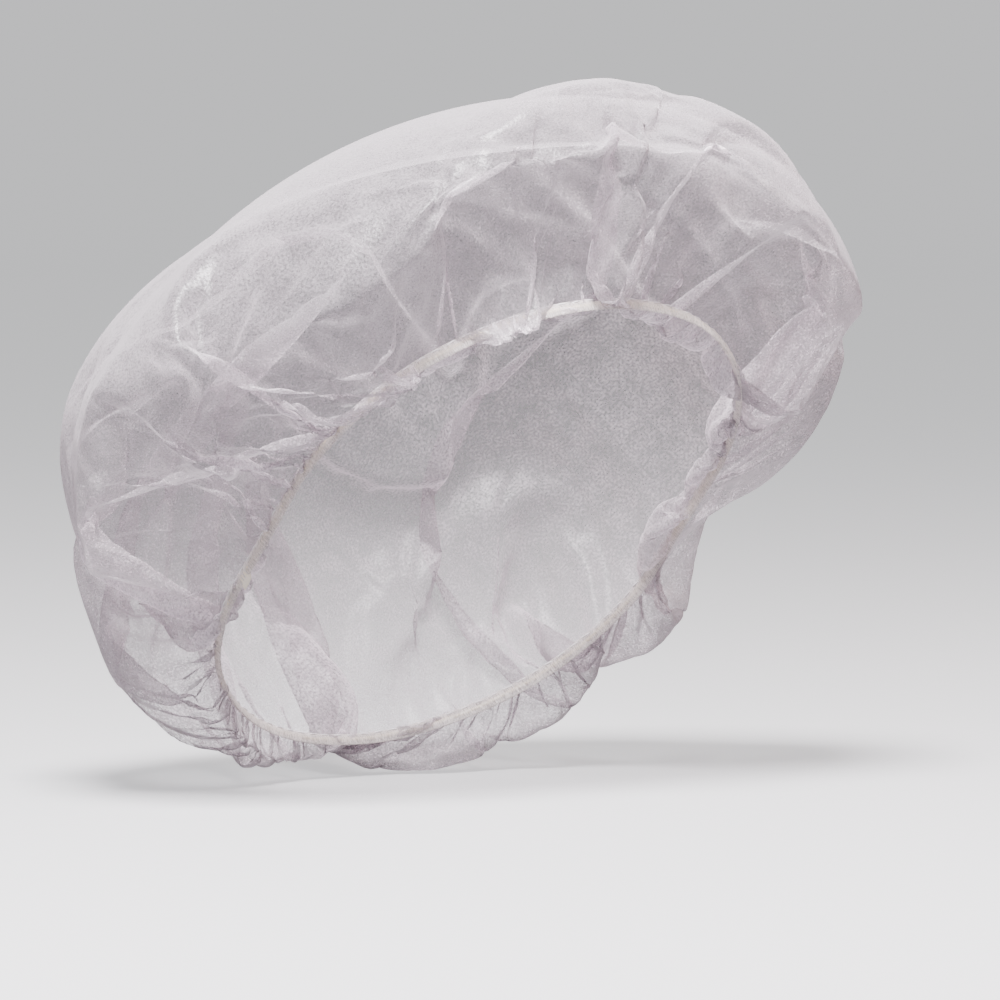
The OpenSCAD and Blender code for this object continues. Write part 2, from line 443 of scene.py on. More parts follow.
def placed_folds():
    """The folds that give this cap its look: lobes, a ridge, brow creases and bands at the sides."""
    folds = []
    for at in LOBES:
        folds.append(crease(at - SIDE_STEP / 2, at, RIDGE_REACH, LOBE_FOLD))
        folds.append(crease(at + SIDE_STEP / 3, at + SIDE_STEP / 2, PINCH_AT[1], LOBE_SIDE_FOLD))
    # The ridge goes over the forehead from the pinch, and drops to the hem at its far end
    near_end, far_end = PINCH_AT[0], -PINCH_AT[0]
    ridge = [(near_end, RIDGE_REACH), (0, RIDGE_REACH - RIDGE_ARCH), (far_end, RIDGE_REACH)]
    folds.append((ridge, RIDGE_FOLD))
    folds.append(crease(far_end, far_end + SIDE_STEP / 3, RIDGE_REACH, RIDGE_DROP_FOLD))
    # One fold slants across from the side to the temple, above the lobe
    slant_ends = (TEMPLE + SIDE_STEP, TEMPLE - SIDE_STEP / 2)
    folds.append(crease(*slant_ends, SLANT_START, SLANT_FOLD, outer=SLANT_END))
    for k in range(BROW_CREASES):
        at = BROW_SPAN * (k / (BROW_CREASES - 1) - 0.5)
        folds.append(crease(at * BROW_FAN, at, BROW_START, BROW_FOLD, bow=(-1) ** k))
    # Bands run back from the hem at both sides, long and short in turn
    for side in (1, -1):
        for k in range(SIDE_CREASES):
            at = side * (TEMPLE + SIDE_STEP * (k + 1))
            short = k % 2
            inner = BAND_START + SHORT_BAND * short
            half_width = (9 - 2.5 * short) * MM
            folds.append(crease(at - side * SIDE_STEP / 4, at, inner, half_width, bow=-side * 3))
    # Creases fan out over the back, from behind one ear to behind the other
    for k in range(BACK_CREASES):
        at = EAR + SIDE_STEP * 2 + (360 - 2 * EAR - 4 * SIDE_STEP) * k / (BACK_CREASES - 1)
        inner = 0.78 + 0.07 * math.sin(1.7 * k)
        folds.append(crease(at + 5 * math.sin(2.3 * k), at, inner, BACK_FOLD))
    return folds


def on_sheet(degrees, reach):
    turn = math.radians(degrees)
    return np.array([math.cos(turn), math.sin(turn)]) * reach * SHEET_R


def small_folds(rng):
    """Short folds that run in from the hem all the way round, and long thin creases above them."""
    folds = []
    for index in range(SMALL_FOLDS):
        degrees = 360 * (index + rng.uniform(-0.35, 0.35)) / SMALL_FOLDS
        length = rng.uniform(0.05, 0.22)
        slant = rng.uniform(-4, 4)
        line = [(degrees + slant, 1 - length), (degrees + slant / 3, 1 - length / 2), (degrees, 1.0)]
        folds.append((line, rng.uniform(2.4, 3.4) * MM))
    for index in range(THIN_CREASES):
        degrees = 360 * (index + rng.uniform(-0.4, 0.4)) / THIN_CREASES
        inner = rng.uniform(0.35, 0.8)
        outer = min(inner + rng.uniform(0.18, 0.35), 0.96)
        slant = rng.uniform(-20, 20)
        half_width = rng.uniform(2.8, 3.4) * MM
        folds.append(crease(degrees, degrees + slant, inner, half_width, outer=outer))
    return folds


# Share of a fold's length over which it opens out at its inner end, and at an end short of the hem
FADE_IN = 0.45
FADE_OUT = 0.35
NEAR_HEM_END = 0.97
# How far fabric is drawn across a fold, in half widths: wide folds overlap, thin ones just crease
WIDE_DRAW = 1.9
THIN_DRAW = 1.25
THIN_FOLD = 3.5 * MM
FULL_LIFT_FOLD = 6 * MM


def fold_shift(flat, line, half_width):
    """How far fabric beside the line is drawn across it, and on which layer (-1..1) it lies."""
    corners = [on_sheet(*point) for point in line]
    lengths = [np.linalg.norm(b - a) for a, b in zip(corners, corners[1:])]
    best = np.full(len(flat), np.inf)
    side = np.zeros(len(flat))
    along = np.zeros(len(flat))
    across = np.zeros_like(flat)
    gone = 0.0
    for a, b, length in zip(corners, corners[1:], lengths):
        ahead = (b - a) / length
        normal = np.array([-ahead[1], ahead[0]])
        t = np.clip((flat - a) @ ahead, 0, length)
        away = flat - a - t[:, None] * ahead
        distance = np.linalg.norm(away, axis=1)
        nearer = distance < best
        best[nearer] = distance[nearer]
        side[nearer] = ((flat - a) @ normal)[nearer]
        along[nearer] = (gone + t)[nearer]
        across[nearer] = normal
        gone += length
    fade = np.clip(along / (FADE_IN * gone), 0, 1)
    if line[-1][1] < NEAR_HEM_END:
        fade *= np.clip((gone - along) / (FADE_OUT * gone), 0, 1)
    fade = fade * fade * (3 - 2 * fade)
    beyond = np.maximum(best - np.abs(side), 0)
    scaled = side / half_width
    pull = scaled * np.exp(0.5 - scaled ** 2 / 2) * fade * np.exp(-(beyond / half_width) ** 2)
    draw = WIDE_DRAW if half_width > THIN_FOLD else THIN_DRAW
    lift = pull * min(1.0, half_width / FULL_LIFT_FOLD)
    return -across * (draw * half_width * pull)[:, None], lift


# Folded fabric lies about one layer above or below the rest at most
MOST_LAYERS = 1.2


def with_folds(flat, folds):
    """Where each point of the flat sheet is laid once the folds are taken up, and its layer."""
    laid, layer = flat.copy(), np.zeros(len(flat))
    for line, half_width in folds:
        shift, lift = fold_shift(flat, line, half_width)
        laid += shift
        layer += lift
    length = np.linalg.norm(laid, axis=1)
    laid *= np.minimum(1, SHEET_R / np.maximum(length, 1e-9))[:, None]
    return laid, np.clip(layer, -MOST_LAYERS, MOST_LAYERS)


# The pinch where the sheet is bunched on top of the head, with creases fanning out from it
PINCH = on_sheet(*PINCH_AT)
PINCH_REACH = 26 * MM
PINCH_CREASES = 9
PINCH_MIDDLE = 8 * MM
PINCH_DRAW = 0.45
FAN_REACH = 1.8 * PINCH_REACH
FAN_RISE = 3.5 * MM


def pinch_in(flat):
    """Draws the sheet towards the pinch; returns the shift and the creases' in-and-out share."""
    away = flat - PINCH
    distance = np.linalg.norm(away, axis=1)
    near = np.exp(-(distance / PINCH_REACH) ** 2)
    turn = np.arctan2(away[:, 1], away[:, 0])
    fan = np.cos(PINCH_CREASES * turn) * np.clip(distance / PINCH_MIDDLE, 0, 1)
    fan *= np.exp(-(distance / FAN_REACH) ** 2)
    return -away * (PINCH_DRAW * near)[:, None], fan


# The sheet is worked out on coarse rings first and then on finer ones. Folds are laid on the way.
LEVELS = [
    {"rings": 22, "steps": 60, "sweeps": 5, "noise": 3.0 * MM, "squeeze": 0.8, "bend": 0.10,
     "inner": (0.74, 0.86), "thickness": 5.0 * MM, "carry": 0.9, "pleat": 0.0, "sag": 0.16 * MM,
     "folds": None},
    {"rings": 44, "steps": 30, "sweeps": 5, "noise": 0.3 * MM, "squeeze": 0.8, "bend": 0.03,
     "inner": (0.86, 0.89), "thickness": 3.0 * MM, "carry": 0.8, "pleat": 1.0 * MM, "sag": 0.14 * MM,
     "folds": None},
    {"rings": 88, "steps": 18, "sweeps": 5, "noise": 0.45 * MM, "squeeze": 0.8, "bend": 0.01,
     "inner": (0.88, 0.90), "thickness": 1.8 * MM, "carry": 0.7, "pleat": 0.9 * MM, "sag": 0.10 * MM,
     "folds": "placed"},
    {"rings": 132, "steps": 12, "sweeps": 4, "noise": 0.08 * MM, "squeeze": 0.8, "bend": 0.02,
     "inner": (0.89, 0.90), "thickness": 1.3 * MM, "carry": 0.6, "pleat": 0.7 * MM, "sag": 0.04 * MM,
     "folds": "small"},
]
LAYER_GAP = 2.4 * MM
LAYER_SINK = 1.2 * LAYER_GAP
SOFTEN = 0.5

# How far the two lobes hang over the hem, and how wide and how deep in the sheet that part is.
# The sheet also droops behind the wearer's right ear, more softly
NAPE_DROOP = 150
NAPE_SPREAD = 9.0
NAPE_SHARE = 0.6
LOBE_DROP = 9 * MM
LOBE_STAND = 4.5 * MM
LOBE_SPREAD = 3.2
LOBE_REACH = 0.952
LOBE_DEPTH = 0.030


def outward_of(x):
    """Unit directions straight out of the crown's envelope."""
    away = (x - CROWN_MIDDLE) / CROWN_HALF ** 2
    return away / np.linalg.norm(away, axis=1)[:, None]


def lobe_droop(flat, rim, out):
    """Where the lobes' lower ends are drawn to, and how strongly, for every point."""
    degrees = np.degrees(np.arctan2(flat[:, 1], flat[:, 0]))
    radius = np.linalg.norm(flat, axis=1) / SHEET_R
    weight = np.zeros(len(flat))
    for at in LOBES:
        weight += np.exp(-((degrees - at) / LOBE_SPREAD) ** 2)
    weight += NAPE_SHARE * np.exp(-((degrees - NAPE_DROOP) / NAPE_SPREAD) ** 2)
    weight *= np.exp(-((radius - LOBE_REACH) / LOBE_DEPTH) ** 2)
    weight = np.where(radius > SEWN, 0.0, np.minimum(weight, 1.0))
    return weight, rim + out * LOBE_STAND - np.array([0, 0, LOBE_DROP])


def puffed_crown():
    """The crown's flat points, its triangles and their crumpled places, worked out level by level."""
    rng = np.random.default_rng(SEED)
    folds = {"placed": placed_folds(), "small": small_folds(rng)}
    levels = LEVELS
    x = None
    for level in levels:
        flat, triangles = flat_disc(level["rings"])
        radius = np.linalg.norm(flat, axis=1) / SHEET_R
        laid, rim, out = gathered_start(flat)
        sewn = radius > SEWN
        loose = np.where(sewn, 0.0, 1.0)
        cloth = Cloth(flat, triangles)
        if x is None:
            x = laid
        else:
            placed, lift = flat, 0.0
            if level["folds"]:
                placed, layer = with_folds(flat, folds[level["folds"]])
                lift = LAYER_GAP * layer - LAYER_SINK * np.abs(layer)
            if level["folds"] == "placed":
                shift, fan = pinch_in(placed)
                placed = placed + shift
                lift = lift + FAN_RISE * fan
            x = finer(x, rings, placed)
            cloth.soften(x, loose, SOFTEN)
            x += outward_of(x) * np.broadcast_to(lift, len(x))[:, None]
        x[sewn] = rim[sewn]
        x = settle(cloth, x, radius, out, rng, level, lobe_droop(flat, rim, out))
        rings = level["rings"]
    cloth.soften(x, loose, SOFTEN)
    return flat, triangles, x


def mesh_object(name, points, faces, smooth=True):
    mesh = bpy.data.meshes.new(name)
    mesh.from_pydata([tuple(map(float, p)) for p in points], [], [tuple(map(int, f)) for f in faces])
    mesh.update()
    if smooth:
        mesh.polygons.foreach_set("use_smooth", [True] * len(mesh.polygons))
    piece = bpy.data.objects.new(name, mesh)
    bpy.context.scene.collection.objects.link(piece)
    return piece


def lay_uv(piece, flat_points):
    """Gives every vertex its place in the flat fabric, in metres, for the material to follow."""
    mesh = piece.data
    corner_points = np.empty(len(mesh.loops), int)
    mesh.loops.foreach_get("vertex_index", corner_points)
    layer = mesh.uv_layers.new(name="fabric")
    layer.data.foreach_set("uv", np.asarray(flat_points)[corner_points].ravel())


# ---- Materials -----------------------------------------------------------------------------------


class Nodes:
    """Short calls for building one material's node tree."""

    def __init__(self, name):
        self.material = bpy.data.materials.new(name)
        self.material.use_nodes = True
        self.tree = self.material.node_tree
        self.tree.nodes.clear()

    def add(self, kind, inputs=None, **settings):
        node = self.tree.nodes.new(kind)
        for key, value in settings.items():
            setattr(node, key, value)
        for key, value in (inputs or {}).items():
            if isinstance(value, bpy.types.NodeSocket):
                self.tree.links.new(value, node.inputs[key])
            else:
                node.inputs[key].default_value = value
        return node

    def math(self, operation, *values):
        node = self.add("ShaderNodeMath", dict(enumerate(values)), operation=operation)
        return node.outputs[0]

    def ramp(self, value, low, high, to_low=0.0, to_high=1.0):
        node = self.add(
            "ShaderNodeMapRange",
            {"Value": value, "From Min": low, "From Max": high, "To Min": to_low, "To Max": to_high},
        )
        return node.outputs["Result"]

    def finish(self, surface):
        self.add("ShaderNodeOutputMaterial", {"Surface": surface})
        return self.material


def fibres(n, place, turns, across, along):
    """The strongest of several fields of stretched noise: fibres laid at different angles."""
    found = None
    for index, turn in enumerate(turns):
        mapped = n.add(
            "ShaderNodeMapping",
            {
                "Vector": place,
                "Rotation": (0, 0, math.radians(turn)),
                "Scale": (1 / along, 1 / across, 1),
                "Location": (3.1 * index, 1.7 * index, 0),
            },
        ).outputs[0]
        noise = n.add(
            "ShaderNodeTexNoise", {"Vector": mapped, "Scale": 1.0, "Detail": 1.0},
            noise_dimensions="2D",
        ).outputs["Fac"]
        found = noise if found is None else n.math("MAXIMUM", found, noise)
    return found


def bond_points(n, place, pitch):
    """Small round spots where rollers have welded the fibres, in a staggered grid: 1 on a spot."""
    spots = None
    for shift in (0.0, 0.5):
        mapped = n.add(
            "ShaderNodeMapping",
            {"Vector": place, "Scale": (1 / pitch, 1 / pitch, 1), "Location": (shift, shift, 0)},
        ).outputs[0]
        cell = n.add("ShaderNodeVectorMath", {0: mapped}, operation="FRACTION").outputs[0]
        middle = n.add(
            "ShaderNodeVectorMath", {0: cell, 1: (0.5, 0.5, 0)}, operation="SUBTRACT"
        ).outputs[0]
        away = n.add("ShaderNodeVectorMath", {0: middle}, operation="LENGTH").outputs["Value"]
        spot = n.ramp(away, *SPOT_EDGE)
        spots = spot if spots is None else n.math("MAXIMUM", spots, spot)
    return spots


# Share of the light a layer scatters that goes on through it, as seen and for bounced light
SEEN_GLOW = 0.40
THROUGH_GLOW = 0.20
# How much darker the inner side is painted than the outer side: painted shade, for the inside of the
# cap getting less light
INSIDE_SHADE = 0.50
# The least that a layer counts as facing the eye, so that edges read dense and not solid
LEAST_FACING = 0.12
SHEEN_SHARE = 0.05
# Light crosses a layer less easily than the eye sees through it
LIGHT_CLEAR = 0.62
HAIR_ANGLES = (20, 110)
HAIR_WIDTH = 0.3 * MM
HAIR_LENGTH = 3 * MM
CLOUD_SIZE = 7 * MM
GRAIN_SIZE = 0.9 * MM
GRAIN_BUMP = 0.3 * MM
BOND_PITCH = 2.1 * MM
# Noise from and to, and the densities they give
CLOUD_DENSITY = (0.3, 0.7, 0.70, 1.30)
HAIR_DENSITY = (0.45, 0.75, 0.78, 1.26)
GRAIN_DENSITY = (0.30, 0.62, 0.45, 1.30)
BOND_DENSITY = (0.0, 1.0, 1.0, 0.80)
SPOT_EDGE = (0.26, 0.14)


def nonwoven_material(name, clear_share, tint, thick_tint):
    """Thin spunbond fabric. clear_share is how much light one layer lets straight through when
    seen square on; the share falls as the layer tips away, so folds and edges read denser."""
    n = Nodes(name)
    place = n.add("ShaderNodeUVMap", uv_map="fabric").outputs["UV"]
    hair = fibres(n, place, HAIR_ANGLES, HAIR_WIDTH, HAIR_LENGTH)
    cloud = n.add(
        "ShaderNodeTexNoise", {"Vector": place, "Scale": 1 / CLOUD_SIZE, "Detail": 2.0},
        noise_dimensions="2D",
    ).outputs["Fac"]
    spots = bond_points(n, place, BOND_PITCH)
    density = n.math("MULTIPLY", n.ramp(cloud, *CLOUD_DENSITY), n.ramp(hair, *HAIR_DENSITY))
    nap = n.add(
        "ShaderNodeTexNoise", {"Vector": place, "Scale": 1 / GRAIN_SIZE, "Detail": 1.0},
        noise_dimensions="2D",
    ).outputs["Fac"]
    density = n.math("MULTIPLY", density, n.ramp(nap, *GRAIN_DENSITY))
    density = n.math("MULTIPLY", density, n.ramp(spots, *BOND_DENSITY))
    bump = n.add(
        "ShaderNodeBump", {"Height": nap, "Strength": 0.35, "Distance": GRAIN_BUMP}
    ).outputs["Normal"]
    geometry = n.add("ShaderNodeNewGeometry")
    facing = n.add(
        "ShaderNodeVectorMath",
        {0: geometry.outputs["Normal"], 1: geometry.outputs["Incoming"]},
        operation="DOT_PRODUCT",
    ).outputs["Value"]
    facing = n.math("MAXIMUM", n.math("ABSOLUTE", facing), LEAST_FACING)
    clear = n.math("POWER", clear_share, n.math("DIVIDE", density, facing))
    colour = n.add(
        "ShaderNodeMix", {"Factor": clear, 6: thick_tint, 7: tint}, data_type="RGBA"
    ).outputs[2]
    # Painted shade: the colour of the inner side is darkened, as if the inside of the cap were in shade
    shade = n.math("SUBTRACT", 1.0, n.math("MULTIPLY", geometry.outputs["Backfacing"], INSIDE_SHADE))
    colour = n.add("ShaderNodeVectorMath", {0: colour, "Scale": shade}, operation="SCALE").outputs[0]
    front = n.add("ShaderNodeBsdfDiffuse", {"Color": colour, "Roughness": 0.5, "Normal": bump})
    back = n.add("ShaderNodeBsdfTranslucent", {"Color": colour, "Normal": bump})
    scatter = n.add("ShaderNodeMixShader", {0: SEEN_GLOW, 1: front.outputs[0], 2: back.outputs[0]})
    gloss = n.add("ShaderNodeBsdfGlossy", {"Color": (1, 1, 1, 1), "Roughness": 0.36, "Normal": bump})
    sheen = n.add("ShaderNodeMixShader", {0: SHEEN_SHARE, 1: scatter.outputs[0], 2: gloss.outputs[0]})
    see = n.add("ShaderNodeBsdfTransparent")
    detailed = n.add("ShaderNodeMixShader", {0: clear, 1: sheen.outputs[0], 2: see.outputs[0]})
    # Light that only bounces off or crosses the fabric takes a plain version, which is far quicker
    plain_front = n.add("ShaderNodeBsdfDiffuse", {"Color": thick_tint})
    plain_back = n.add("ShaderNodeBsdfTranslucent", {"Color": thick_tint})
    plain = n.add(
        "ShaderNodeMixShader", {0: THROUGH_GLOW, 1: plain_front.outputs[0], 2: plain_back.outputs[0]}
    )
    plain = n.add(
        "ShaderNodeMixShader", {0: clear_share * LIGHT_CLEAR, 1: plain.outputs[0], 2: see.outputs[0]}
    )
    ray = n.add("ShaderNodeLightPath")
    indirect = n.math("MAXIMUM", ray.outputs["Is Shadow Ray"], ray.outputs["Is Diffuse Ray"])
    surface = n.add("ShaderNodeMixShader", {0: indirect, 1: detailed.outputs[0], 2: plain.outputs[0]})
    return n.finish(surface.outputs[0])


def matt_material(name, colour, spot_colour, grain, roughness):
    """A matt material with a little uneven colour and a fine grain."""
    n = Nodes(name)
    place = n.add("ShaderNodeTexCoord").outputs["Object"]
    blotch = n.add("ShaderNodeTexNoise", {"Vector": place, "Scale": 1 / (6 * grain), "Detail": 3.0})
    fine = n.add("ShaderNodeTexNoise", {"Vector": place, "Scale": 1 / grain, "Detail": 2.0})
    mixed = n.add(
        "ShaderNodeMix",
        {"Factor": n.ramp(blotch.outputs["Fac"], 0.35, 0.65), 6: colour, 7: spot_colour},
        data_type="RGBA",
    ).outputs[2]
    bump = n.add(
        "ShaderNodeBump", {"Height": fine.outputs["Fac"], "Strength": 0.5, "Distance": grain * 0.4}
    ).outputs["Normal"]
    surface = n.add(
        "ShaderNodeBsdfPrincipled",
        {"Base Color": mixed, "Roughness": roughness, "Normal": bump},
    )
    return n.finish(surface.outputs[0])


# ---- Pieces --------------------------------------------------------------------------------------

CRIMP_PITCH = 1.5 * MM
CRIMP_DEPTH = 0.15 * MM
CASING_STEPS_A_CRIMP = 6
CASING_COLUMNS = 20
# Shares of half the casing's thickness: its flat plies, and the bulge over the elastic
PLY_SHARE = 0.42
BULGE_SHARE = 0.50
BULGE_HEIGHT = 0.85 * MM


def swept_band(shares, section):
    """Points and faces of a closed tube round the hem. section(share, column) gives how far out
    and how high each of its points is, for arrays of shares and columns."""
    count = len(shares)
    points, out, _ = hem_loop(shares)
    columns = np.arange(CASING_COLUMNS) / CASING_COLUMNS
    away, high = section(shares[:, None], columns[None, :])
    grid = points[:, None, :] + out[:, None, :] * away[..., None]
    grid[..., 2] += high
    faces = []
    for i in range(count):
        k = (i + 1) % count
        for j in range(CASING_COLUMNS):
            m = (j + 1) % CASING_COLUMNS
            faces.append((
                i * CASING_COLUMNS + j, i * CASING_COLUMNS + m,
                k * CASING_COLUMNS + m, k * CASING_COLUMNS + j,
            ))
    return grid.reshape(-1, 3), faces


def casing_half(high):
    """Half the casing's thickness at a height: a bulge over the elastic between flat plies."""
    return HEM_T / 2 * (PLY_SHARE + BULGE_SHARE * np.exp(-(high / BULGE_HEIGHT) ** 2))


def casing_section(share, column):
    """The folded hem: a tall rounded loop with fine crimps that are deepest at its lower fold."""
    turn = 2 * np.pi * column
    straight = (HEM_HEIGHT - HEM_T) / 2
    rise = np.sin(turn)
    high = straight * np.clip(rise * 1.6, -1, 1) + HEM_T / 2 * rise
    away = casing_half(high) * np.cos(turn)
    crimps = round(HEM_LENGTH / CRIMP_PITCH)
    phase = crimps * share + 0.9 * np.sin(2 * np.pi * 37 * share) + 0.6 * np.sin(2 * np.pi * 71 * share)
    phase = 2 * np.pi * phase
    strength = 0.65 + 0.35 * np.sin(2 * np.pi * (53 * share + 0.2)) * np.cos(2 * np.pi * 19 * share)
    low_share = np.clip(0.75 - 0.45 * rise, 0.15, 1.2)
    wave = CRIMP_DEPTH * strength * np.cos(phase)
    away = away * (1 - 0.16 * (1 - np.cos(phase)) * low_share) + wave * low_share
    high = high + 0.55 * wave * np.clip(-rise, 0, 1) + 0.10 * MM * np.sin(2 * np.pi * 11 * share)
    return away, high


def build_casing():
    crimps = round(HEM_LENGTH / CRIMP_PITCH)
    count = crimps * CASING_STEPS_A_CRIMP
    shares = np.arange(count) / count
    points, faces = swept_band(shares, casing_section)
    casing = mesh_object("hem_casing_fabric", to_frame(points), faces)
    columns = np.tile(np.arange(CASING_COLUMNS) / CASING_COLUMNS, count)
    length = np.repeat(shares, CASING_COLUMNS) * 2 * np.pi * SHEET_R
    lay_uv(casing, np.stack([length, columns * 2 * HEM_HEIGHT], 1))
    casing.data.materials.append(
        nonwoven_material("hem_fabric", 0.45, (0.80, 0.74, 0.73, 1), (0.93, 0.88, 0.86, 1))
    )
    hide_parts("hem_casing")
    return casing


def build_crown():
    flat, triangles, sheet = puffed_crown()
    crown = mesh_object("crown_sheet", to_frame(sheet), triangles)
    lay_uv(crown, flat)
    crown.data.materials.append(
        nonwoven_material("crown_fabric", 0.60, (0.80, 0.73, 0.78, 1), (0.99, 0.92, 0.965, 1))
    )
    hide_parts("crown")
    return crown


def tube(centres, sides, radii, along):
    """Points and faces of a tube through centres, closed at both ends by one point each."""
    count = len(centres)
    helper = np.array([0.0, 0.0, 1.0])
    first = np.cross(along, helper)
    first /= np.linalg.norm(first, axis=1)[:, None]
    second = np.cross(along, first)
    turn = 2 * np.pi * np.arange(sides) / sides
    ring = np.cos(turn)[None, :, None] * first[:, None, :]
    ring = ring + np.sin(turn)[None, :, None] * second[:, None, :]
    points = (centres[:, None, :] + ring * radii[:, None, None]).reshape(-1, 3)
    faces = []
    for i in range(count - 1):
        for j in range(sides):
            k = (j + 1) % sides
            faces.append((i * sides + j, i * sides + k, (i + 1) * sides + k, (i + 1) * sides + j))
    low, high = len(points), len(points) + 1
    points = np.concatenate([points, centres[:1], centres[-1:]])
    last = (count - 1) * sides
    for j in range(sides):
        k = (j + 1) % sides
        faces.append((low, k, j))
        faces.append((high, last + j, last + k))
    return points, faces


def join_middle():
    """Where the join tab's middle is, as a share of the way round the hem, and the tab's points."""
    tab = node_in_opening("elastic_join")
    back = -(tab[:, 0].min() + tab[:, 0].max()) / 2
    return (QUARTER + SIDE / 2 + back) / HEM_LENGTH, tab


ELASTIC_END_GAP = 1.0 * MM
ELASTIC_STEPS = 700


def build_elastic():
    """The strand in its casing, with a little unevenness, cut where its two ends meet."""
    share, _ = join_middle()
    gap = ELASTIC_END_GAP / HEM_LENGTH
    shares = share + gap + (1 - 2 * gap) * np.linspace(0, 1, ELASTIC_STEPS)
    points, out, along = hem_loop(shares)
    points = points + out * (0.10 * MM * np.sin(2 * np.pi * 41 * shares))[:, None]
    points[:, 2] += 0.12 * MM * np.sin(2 * np.pi * 29 * shares)
    radii = ELASTIC_R * (0.93 + 0.05 * np.sin(2 * np.pi * 67 * shares))
    radii[0] = radii[-1] = ELASTIC_R * 0.8
    points, faces = tube(points, 12, radii, along)
    elastic = mesh_object("elastic_strand", to_frame(points), faces)
    elastic.data.materials.append(
        matt_material("elastic", (0.86, 0.77, 0.62, 1), (0.78, 0.68, 0.53, 1), 0.5 * MM, 0.55)
    )
    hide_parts("elastic_loop")
    return elastic


STITCH_STEPS = 9
STITCH_PITCH = 5 * MM
STITCH_LENGTH = 3.2 * MM


def build_thread(name, node, side):
    """A row of stitches on one face of the casing. Each one bows out between its two holes."""
    thread = node_in_opening(node)
    stitch_rise = (thread[:, 2].min() + thread[:, 2].max()) / 2
    radius = (thread[:, 2].max() - thread[:, 2].min()) / 2
    count = int(HEM_LENGTH / STITCH_PITCH)
    all_points, all_faces = [], []
    for index in range(count):
        middle = (index + 0.5) / count
        at = np.linspace(-0.5, 0.5, STITCH_STEPS)
        centres, out, along = hem_loop(middle + at * STITCH_LENGTH / HEM_LENGTH)
        bow = np.cos(math.pi * at)
        lean = 0.18 * MM * math.sin(2.4 * index)
        centres = centres + out * (side * (casing_half(stitch_rise) + 1.1 * radius * bow))[:, None]
        centres[:, 2] += stitch_rise + lean * at * 2
        radii = radius * (0.45 + 0.55 * np.sqrt(np.clip(bow, 0, 1)))
        points, faces = tube(centres, 8, radii, along)
        start = sum(len(p) for p in all_points)
        all_points.append(points)
        all_faces += [tuple(start + v for v in face) for face in faces]
    piece = mesh_object(name, to_frame(np.concatenate(all_points)), all_faces)
    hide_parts(node)
    return piece


def build_join():
    """The pressed tab over the elastic's two ends: soft-edged, a little curled, cut at its foot."""
    _, tab = join_middle()
    low, high = tab.min(0), tab.max(0)
    size = high - low
    middle = (low + high) / 2
    steps_along, steps_high = 13, 15
    points, faces = [], []
    for face_side in (-1, 1):
        for i in range(steps_along):
            for j in range(steps_high):
                a, h = 2 * i / (steps_along - 1) - 1, 2 * j / (steps_high - 1) - 1
                edge = (1 - abs(a) ** 5) * (1 - abs(h) ** 6)
                bulge = math.exp(-((h * size[2] / 2 + middle[2]) / (0.9 * MM)) ** 2)
                thick = size[1] / 2 * (0.10 + edge * (0.45 + 0.45 * bulge))
                curl = 0.35 * MM * max(-h, 0) ** 2 * (1 + 0.6 * a)
                ripple = 0.05 * MM * math.sin(7 * a + 3 * h) * math.sin(5 * h)
                corner = 0.5 * MM * (abs(a) ** 4) * max(-h, 0) ** 4
                points.append((
                    middle[0] + a * size[0] / 2 * (0.96 + 0.04 * math.cos(2 * h)),
                    middle[1] + face_side * thick + curl + ripple - 0.1 * MM,
                    middle[2] + h * size[2] / 2 + corner,
                ))
    sheet_size = steps_along * steps_high

    def at(face_side, i, j):
        return face_side * sheet_size + i * steps_high + j

    for i in range(steps_along - 1):
        for j in range(steps_high - 1):
            faces.append((at(0, i, j), at(0, i, j + 1), at(0, i + 1, j + 1), at(0, i + 1, j)))
            faces.append((at(1, i, j), at(1, i + 1, j), at(1, i + 1, j + 1), at(1, i, j + 1)))
    for i in range(steps_along - 1):
        for j, flip in ((0, False), (steps_high - 1, True)):
            quad = (at(0, i, j), at(0, i + 1, j), at(1, i + 1, j), at(1, i, j))
            faces.append(quad[::-1] if flip else quad)
    for j in range(steps_high - 1):
        for i, flip in ((0, True), (steps_along - 1, False)):
            quad = (at(0, i, j), at(0, i, j + 1), at(1, i, j + 1), at(1, i, j))
            faces.append(quad if flip else quad[::-1])
    join = mesh_object("elastic_join_tab", to_frame(points), faces)
    join.data.materials.append(
        matt_material("join_tab", (0.87, 0.80, 0.68, 1), (0.80, 0.72, 0.59, 1), 0.4 * MM, 0.6)
    )
    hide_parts("elastic_join")
    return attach(join, "join_side")


def stretches_with_hem(piece):
    """Bakes the piece's placement into its mesh."""
    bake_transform(piece)


thread_material = matt_material("thread", (0.90, 0.87, 0.89, 1), (0.82, 0.79, 0.81, 1), 0.15 * MM, 0.7)
needle = build_thread("needle_thread_stitches", "needle_thread", 1)
bobbin = build_thread("bobbin_thread_stitches", "bobbin_thread", -1)
for row in (needle, bobbin):
    row.data.materials.append(thread_material)
for piece in (build_crown(), build_casing(), build_elastic(), needle, bobbin):
    stretches_with_hem(piece)
build_join()

# ---- Stage ---------------------------------------------------------------------------------------

CAMERA_TURN = math.radians(-35)
CAMERA_RISE = math.radians(3)
VIEW_WIDTH = 303 * MM
LENS = 240.0
SENSOR = 36.0
BACKDROP_GLOW = 0.70
GLOW_THROUGH_FABRIC = 0.20
WORLD_LIGHT = 0.20
FLOOR_GAP = 1 * MM
# Where the camera aims, across the picture and up from the frame's origin
AIM_ACROSS = 6.4 * MM
AIM_UP = 8.5 * MM
LIGHTS_AIM = (0, 0, 0.03)
# Layers of fabric that a ray may cross
MOST_CROSSED = 32


def look_at(obj, target):
    obj.rotation_euler = (Vector(target) - obj.location).to_track_quat("-Z", "Y").to_euler()


